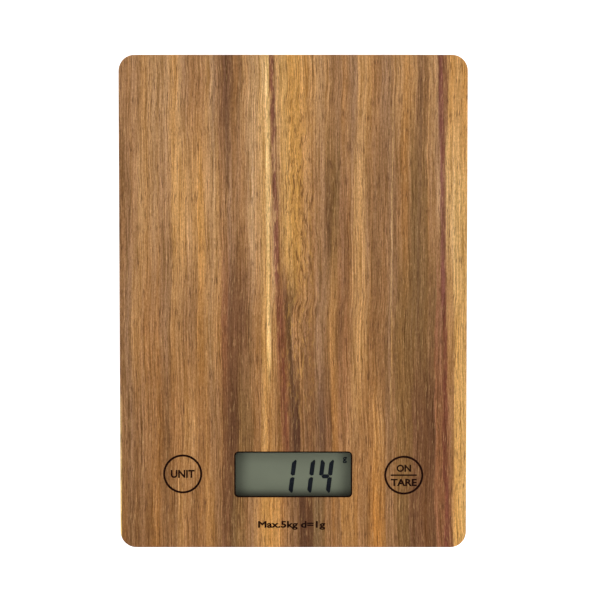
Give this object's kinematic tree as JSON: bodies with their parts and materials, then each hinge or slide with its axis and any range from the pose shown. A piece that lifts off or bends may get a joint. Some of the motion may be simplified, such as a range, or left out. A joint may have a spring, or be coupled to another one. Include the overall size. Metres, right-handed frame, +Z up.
{
  "type": "kitchen scale",
  "caption": "Slim electronic kitchen scale: flat wooden weighing platform with a segment display window and touch keys, on a moulded tray with sensing feet.",
  "frame": {"origin": "on the surface that the scale stands on, under the middle of the platform", "axes": "+Z up through the weighing surface, +Y to the edge furthest from the display, +X to the right for a reader of the display"},
  "size_m": [0.141, 0.2, 0.02],
  "materials": {
    "acacia": "oiled figured hardwood, satin",
    "black_abs": "fine spark-eroded texture",
    "grey_abs": "satin moulded plastic",
    "gauge_coat": "white silicone coat",
    "clear_acrylic": "polished clear sheet",
    "lcd_glass": "grey-green reflective segment display",
    "silicone": "layered conductive rubber",
    "foot_rubber": "matt soft rubber",
    "steel": "bright nickel-plated steel",
    "copper": "bare copper foil",
    "fibreglass": "green solder mask",
    "epoxy": "black moulded epoxy",
    "label_film": "blank silver film",
    "red_lead": "insulated lead",
    "black_lead": "insulated lead",
    "white_lead": "insulated lead"
  },
  "bodies": {
    "scale": {"base_shell": "black_abs", "battery_contact_negative": "steel", "battery_contact_positive": "steel", "battery_lead_negative": "black_lead", "battery_lead_positive": "red_lead", "clamp_screw_front_left": "steel", "clamp_screw_front_right": "steel", "clamp_screw_rear_left": "steel", "clamp_screw_rear_right": "steel", "coin_cell": "steel", "controller_chip": "epoxy", "converter_chip": "epoxy", "crystal": "steel", "lcd_frame": "black_abs", "lcd_front_glass": "lcd_glass", "lcd_rear_glass": "lcd_glass", "load_cell_clamp_front_left": "steel", "load_cell_clamp_front_right": "steel", "load_cell_clamp_rear_left": "steel", "load_cell_clamp_rear_right": "steel", "load_cell_front_left": "steel", "load_cell_front_right": "steel", "load_cell_lead_front_left": "white_lead", "load_cell_lead_front_right": "white_lead", "load_cell_lead_rear_left": "white_lead", "load_cell_lead_rear_right": "white_lead", "load_cell_rear_left": "steel", "load_cell_rear_right": "steel", "main_pcb": "fibreglass", "pcb_screw_1": "steel", "pcb_screw_2": "steel", "pcb_screw_3": "steel", "pcb_screw_4": "steel", "platform_screw_1": "steel", "platform_screw_2": "steel", "platform_screw_3": "steel", "platform_screw_4": "steel", "rating_label": "label_film", "storage_capacitor": "black_abs", "strain_gauge_front_left": "gauge_coat", "strain_gauge_front_right": "gauge_coat", "strain_gauge_rear_left": "gauge_coat", "strain_gauge_rear_right": "gauge_coat", "tare_touch_pad": "copper", "tare_touch_spring": "steel", "unit_touch_pad": "copper", "unit_touch_spring": "steel", "window_lens": "clear_acrylic", "wood_platform": "acacia", "zebra_connector": "silicone"},
    "foot_front_left": {"foot_cap_front_left": "grey_abs", "foot_pad_front_left": "foot_rubber"},
    "foot_front_right": {"foot_cap_front_right": "grey_abs", "foot_pad_front_right": "foot_rubber"},
    "foot_rear_left": {"foot_cap_rear_left": "grey_abs", "foot_pad_rear_left": "foot_rubber"},
    "foot_rear_right": {"foot_cap_rear_right": "grey_abs", "foot_pad_rear_right": "foot_rubber"},
    "door": {"battery_door": "black_abs"}
  },
  "joints": [
    {"name": "foot_front_left_press", "type": "slide", "parent": "scale", "child": "foot_front_left", "axis": [0, 0, 1], "range_m": [0, 0.00025], "stiffness_N_per_m": 400, "springref_m": -0.0015},
    {"name": "foot_front_right_press", "type": "slide", "parent": "scale", "child": "foot_front_right", "axis": [0, 0, 1], "range_m": [0, 0.00025], "stiffness_N_per_m": 400, "springref_m": -0.0015},
    {"name": "foot_rear_left_press", "type": "slide", "parent": "scale", "child": "foot_rear_left", "axis": [0, 0, 1], "range_m": [0, 0.00025], "stiffness_N_per_m": 400, "springref_m": -0.0015},
    {"name": "foot_rear_right_press", "type": "slide", "parent": "scale", "child": "foot_rear_right", "axis": [0, 0, 1], "range_m": [0, 0.00025], "stiffness_N_per_m": 400, "springref_m": -0.0015},
    {"name": "battery_door_hinge", "type": "hinge", "parent": "scale", "child": "door", "pos_m": [0, -0.03365, 0.0036], "axis": [-1, 0, 0], "range_deg": [0, 95]}
  ]
}
